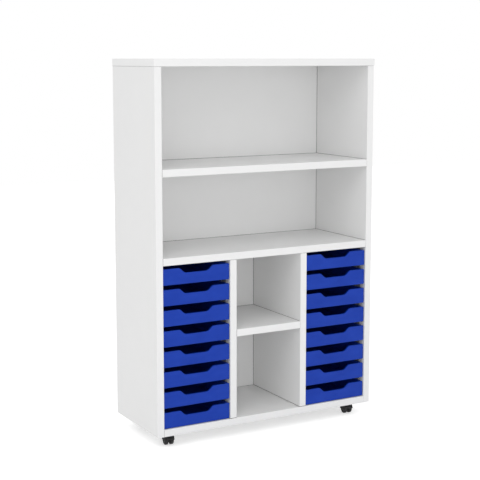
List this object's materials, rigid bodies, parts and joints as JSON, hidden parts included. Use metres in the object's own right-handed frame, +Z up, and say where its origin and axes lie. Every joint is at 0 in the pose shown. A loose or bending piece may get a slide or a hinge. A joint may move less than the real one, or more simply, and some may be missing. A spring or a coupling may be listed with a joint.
{
  "type": "classroom tray storage unit",
  "caption": "Free-standing white board unit on swivel castors, with open bays above an open centre column that has shallow sliding trays on each side.",
  "frame": {"origin": "on the floor, under the middle of the unit's outer box", "axes": "+X to the right seen from the front, +Y to the back, +Z up; the trays and open bays face -Y"},
  "size_m": [0.874, 0.34, 1.313],
  "materials": {
    "white_board": "white melamine-faced board with matching edging, satin",
    "white_back": "white lacquered thin board, satin",
    "blue_tray": "royal blue moulded plastic, semi-gloss",
    "runner_plastic": "mid grey extruded plastic",
    "castor_steel": "zinc-plated steel",
    "castor_hood": "black moulded nylon",
    "castor_wheel": "black nylon wheel"
  },
  "bodies": {
    "cabinet": {"top_panel": "white_board", "left_side_panel": "white_board", "right_side_panel": "white_board", "bottom_panel": "white_board", "mid_shelf": "white_board", "upper_shelf": "white_board", "left_divider": "white_board", "right_divider": "white_board", "centre_shelf": "white_board", "back_panel": "white_back", "left_bay_left_runner_strip": "runner_plastic", "left_bay_right_runner_strip": "runner_plastic", "right_bay_left_runner_strip": "runner_plastic", "right_bay_right_runner_strip": "runner_plastic", "front_left_castor_plate": "castor_steel", "front_left_castor_king_pin": "castor_steel", "front_right_castor_plate": "castor_steel", "front_right_castor_king_pin": "castor_steel", "rear_left_castor_plate": "castor_steel", "rear_left_castor_king_pin": "castor_steel", "rear_right_castor_plate": "castor_steel", "rear_right_castor_king_pin": "castor_steel"},
    "left_tray_1": {"left_tray_1": "blue_tray"},
    "left_tray_2": {"left_tray_2": "blue_tray"},
    "left_tray_3": {"left_tray_3": "blue_tray"},
    "left_tray_4": {"left_tray_4": "blue_tray"},
    "left_tray_5": {"left_tray_5": "blue_tray"},
    "left_tray_6": {"left_tray_6": "blue_tray"},
    "left_tray_7": {"left_tray_7": "blue_tray"},
    "left_tray_8": {"left_tray_8": "blue_tray"},
    "right_tray_1": {"right_tray_1": "blue_tray"},
    "right_tray_2": {"right_tray_2": "blue_tray"},
    "right_tray_3": {"right_tray_3": "blue_tray"},
    "right_tray_4": {"right_tray_4": "blue_tray"},
    "right_tray_5": {"right_tray_5": "blue_tray"},
    "right_tray_6": {"right_tray_6": "blue_tray"},
    "right_tray_7": {"right_tray_7": "blue_tray"},
    "right_tray_8": {"right_tray_8": "blue_tray"},
    "front_left_castor": {"front_left_castor_hood": "castor_hood", "front_left_castor_axle": "castor_steel"},
    "front_left_castor_left_wheel": {"front_left_castor_left_wheel": "castor_wheel"},
    "front_left_castor_right_wheel": {"front_left_castor_right_wheel": "castor_wheel"},
    "front_right_castor": {"front_right_castor_hood": "castor_hood", "front_right_castor_axle": "castor_steel"},
    "front_right_castor_left_wheel": {"front_right_castor_left_wheel": "castor_wheel"},
    "front_right_castor_right_wheel": {"front_right_castor_right_wheel": "castor_wheel"},
    "rear_left_castor": {"rear_left_castor_hood": "castor_hood", "rear_left_castor_axle": "castor_steel"},
    "rear_left_castor_left_wheel": {"rear_left_castor_left_wheel": "castor_wheel"},
    "rear_left_castor_right_wheel": {"rear_left_castor_right_wheel": "castor_wheel"},
    "rear_right_castor": {"rear_right_castor_hood": "castor_hood", "rear_right_castor_axle": "castor_steel"},
    "rear_right_castor_left_wheel": {"rear_right_castor_left_wheel": "castor_wheel"},
    "rear_right_castor_right_wheel": {"rear_right_castor_right_wheel": "castor_wheel"}
  },
  "joints": [
    {"name": "left_tray_1_slide", "type": "slide", "parent": "cabinet", "child": "left_tray_1", "axis": [0, -1, 0], "range_m": [0, 0.24]},
    {"name": "left_tray_2_slide", "type": "slide", "parent": "cabinet", "child": "left_tray_2", "axis": [0, -1, 0], "range_m": [0, 0.24]},
    {"name": "left_tray_3_slide", "type": "slide", "parent": "cabinet", "child": "left_tray_3", "axis": [0, -1, 0], "range_m": [0, 0.24]},
    {"name": "left_tray_4_slide", "type": "slide", "parent": "cabinet", "child": "left_tray_4", "axis": [0, -1, 0], "range_m": [0, 0.24]},
    {"name": "left_tray_5_slide", "type": "slide", "parent": "cabinet", "child": "left_tray_5", "axis": [0, -1, 0], "range_m": [0, 0.24]},
    {"name": "left_tray_6_slide", "type": "slide", "parent": "cabinet", "child": "left_tray_6", "axis": [0, -1, 0], "range_m": [0, 0.24]},
    {"name": "left_tray_7_slide", "type": "slide", "parent": "cabinet", "child": "left_tray_7", "axis": [0, -1, 0], "range_m": [0, 0.24]},
    {"name": "left_tray_8_slide", "type": "slide", "parent": "cabinet", "child": "left_tray_8", "axis": [0, -1, 0], "range_m": [0, 0.24]},
    {"name": "right_tray_1_slide", "type": "slide", "parent": "cabinet", "child": "right_tray_1", "axis": [0, -1, 0], "range_m": [0, 0.24]},
    {"name": "right_tray_2_slide", "type": "slide", "parent": "cabinet", "child": "right_tray_2", "axis": [0, -1, 0], "range_m": [0, 0.24]},
    {"name": "right_tray_3_slide", "type": "slide", "parent": "cabinet", "child": "right_tray_3", "axis": [0, -1, 0], "range_m": [0, 0.24]},
    {"name": "right_tray_4_slide", "type": "slide", "parent": "cabinet", "child": "right_tray_4", "axis": [0, -1, 0], "range_m": [0, 0.24]},
    {"name": "right_tray_5_slide", "type": "slide", "parent": "cabinet", "child": "right_tray_5", "axis": [0, -1, 0], "range_m": [0, 0.24]},
    {"name": "right_tray_6_slide", "type": "slide", "parent": "cabinet", "child": "right_tray_6", "axis": [0, -1, 0], "range_m": [0, 0.24]},
    {"name": "right_tray_7_slide", "type": "slide", "parent": "cabinet", "child": "right_tray_7", "axis": [0, -1, 0], "range_m": [0, 0.24]},
    {"name": "right_tray_8_slide", "type": "slide", "parent": "cabinet", "child": "right_tray_8", "axis": [0, -1, 0], "range_m": [0, 0.24]},
    {"name": "front_left_castor_swivel", "type": "hinge", "parent": "cabinet", "child": "front_left_castor", "pos_m": [-0.37, -0.103, 0.04], "axis": [0, 0, 1], "continuous": true},
    {"name": "front_left_castor_left_wheel_spin", "type": "hinge", "parent": "front_left_castor", "child": "front_left_castor_left_wheel", "pos_m": [-0.37209, -0.11785, 0.0175], "axis": [0.9903, -0.1392, 0], "continuous": true},
    {"name": "front_left_castor_right_wheel_spin", "type": "hinge", "parent": "front_left_castor", "child": "front_left_castor_right_wheel", "pos_m": [-0.37209, -0.11785, 0.0175], "axis": [0.9903, -0.1392, 0], "continuous": true},
    {"name": "front_right_castor_swivel", "type": "hinge", "parent": "cabinet", "child": "front_right_castor", "pos_m": [0.37, -0.103, 0.04], "axis": [0, 0, 1], "continuous": true},
    {"name": "front_right_castor_left_wheel_spin", "type": "hinge", "parent": "front_right_castor", "child": "front_right_castor_left_wheel", "pos_m": [0.36791, -0.11785, 0.0175], "axis": [0.9903, -0.1392, 0], "continuous": true},
    {"name": "front_right_castor_right_wheel_spin", "type": "hinge", "parent": "front_right_castor", "child": "front_right_castor_right_wheel", "pos_m": [0.36791, -0.11785, 0.0175], "axis": [0.9903, -0.1392, 0], "continuous": true},
    {"name": "rear_left_castor_swivel", "type": "hinge", "parent": "cabinet", "child": "rear_left_castor", "pos_m": [-0.359, 0.094, 0.04], "axis": [0, 0, 1], "continuous": true},
    {"name": "rear_left_castor_left_wheel_spin", "type": "hinge", "parent": "rear_left_castor", "child": "rear_left_castor_left_wheel", "pos_m": [-0.36109, 0.07915, 0.0175], "axis": [0.9903, -0.1392, 0], "continuous": true},
    {"name": "rear_left_castor_right_wheel_spin", "type": "hinge", "parent": "rear_left_castor", "child": "rear_left_castor_right_wheel", "pos_m": [-0.36109, 0.07915, 0.0175], "axis": [0.9903, -0.1392, 0], "continuous": true},
    {"name": "rear_right_castor_swivel", "type": "hinge", "parent": "cabinet", "child": "rear_right_castor", "pos_m": [0.359, 0.094, 0.04], "axis": [0, 0, 1], "continuous": true},
    {"name": "rear_right_castor_left_wheel_spin", "type": "hinge", "parent": "rear_right_castor", "child": "rear_right_castor_left_wheel", "pos_m": [0.35691, 0.07915, 0.0175], "axis": [0.9903, -0.1392, 0], "continuous": true},
    {"name": "rear_right_castor_right_wheel_spin", "type": "hinge", "parent": "rear_right_castor", "child": "rear_right_castor_right_wheel", "pos_m": [0.35691, 0.07915, 0.0175], "axis": [0.9903, -0.1392, 0], "continuous": true}
  ]
}
